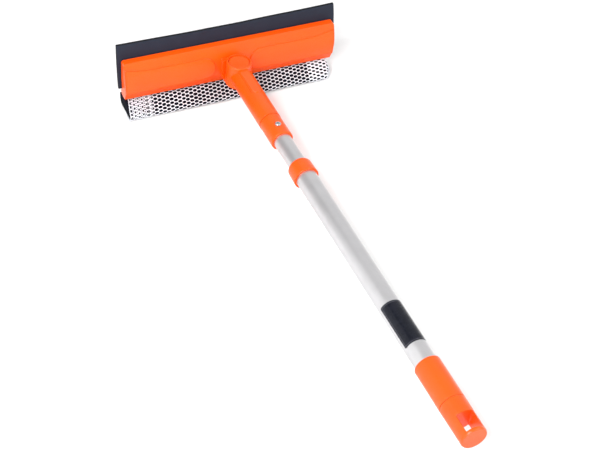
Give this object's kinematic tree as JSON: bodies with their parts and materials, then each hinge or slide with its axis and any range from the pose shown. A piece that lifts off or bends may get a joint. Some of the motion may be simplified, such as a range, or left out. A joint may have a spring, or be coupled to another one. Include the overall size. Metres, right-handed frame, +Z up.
{
  "type": "window squeegee",
  "caption": "Window squeegee with a rubber blade and a net-covered sponge on a swivelling head with a push-button lock, on a telescopic twist-lock pole.",
  "frame": {"origin": "under the middle of the tool's box, on the surface that the sponge's working face lies on", "axes": "+X along the blade, +Y along the pole from the grip to the head, +Z up, from the sponge to the blade's edge"},
  "size_m": [0.252, 0.5552, 0.0792],
  "materials": {
    "orange": "moulded, satin gloss",
    "tube": "satin anodised",
    "blade": "smooth matt",
    "foam": "open-cell foam",
    "net": "knitted nylon net",
    "label": "satin foil",
    "strip": "moulded",
    "carrier": "moulded",
    "screw": "bright zinc",
    "spring": "spring steel",
    "post": "moulded",
    "lock_plastic": "moulded"
  },
  "bodies": {
    "outer_pole": {"outer_tube": "tube", "pole_collar": "orange", "grip_sleeve": "orange", "grip_end_cap": "orange", "pole_label": "label"},
    "lock_sleeve": {"lock_expander": "lock_plastic"},
    "lock_nut": {"lock_cone": "lock_plastic"},
    "inner_pole": {"inner_tube": "tube", "lock_stud": "lock_plastic", "stud_screw": "screw", "pole_socket": "orange", "socket_screw": "screw", "swivel_neck": "orange", "button_spring": "spring"},
    "button": {"release_button": "orange"},
    "head": {"head_body": "orange", "pivot_post": "post", "retaining_ring": "spring", "squeegee_blade": "blade", "clamp_strip": "strip", "clamp_screws": "screw", "sponge_carrier": "carrier", "sponge_foam": "foam", "net_sleeve": "net"}
  },
  "joints": [
    {"name": "pole_extend", "type": "slide", "parent": "outer_pole", "child": "lock_sleeve", "axis": [0, 1, 0], "range_m": [0, 0.26]},
    {"name": "pole_twist", "type": "hinge", "parent": "lock_sleeve", "child": "inner_pole", "pos_m": [0, -0.20985, 0.0383], "axis": [0, 1, 0], "range_deg": [-90, 90]},
    {"name": "cone_draw", "type": "slide", "parent": "lock_sleeve", "child": "lock_nut", "axis": [0, 1, 0], "range_m": [-0.00076, 0.00076]},
    {"name": "head_swivel", "type": "hinge", "parent": "inner_pole", "child": "head", "pos_m": [0, 0.24015, 0.0383], "axis": [0, 0, 1], "range_deg": [-90, 90]},
    {"name": "button_press", "type": "slide", "parent": "inner_pole", "child": "button", "axis": [0, 0, -1], "range_m": [0, 0.003], "stiffness_N_per_m": 700, "springref_m": -0.002, "deforming": ["button_spring"]}
  ],
  "couplings": [
    {"joint": "cone_draw", "follows": "pole_twist", "m_per_rad": 0.00047746}
  ]
}
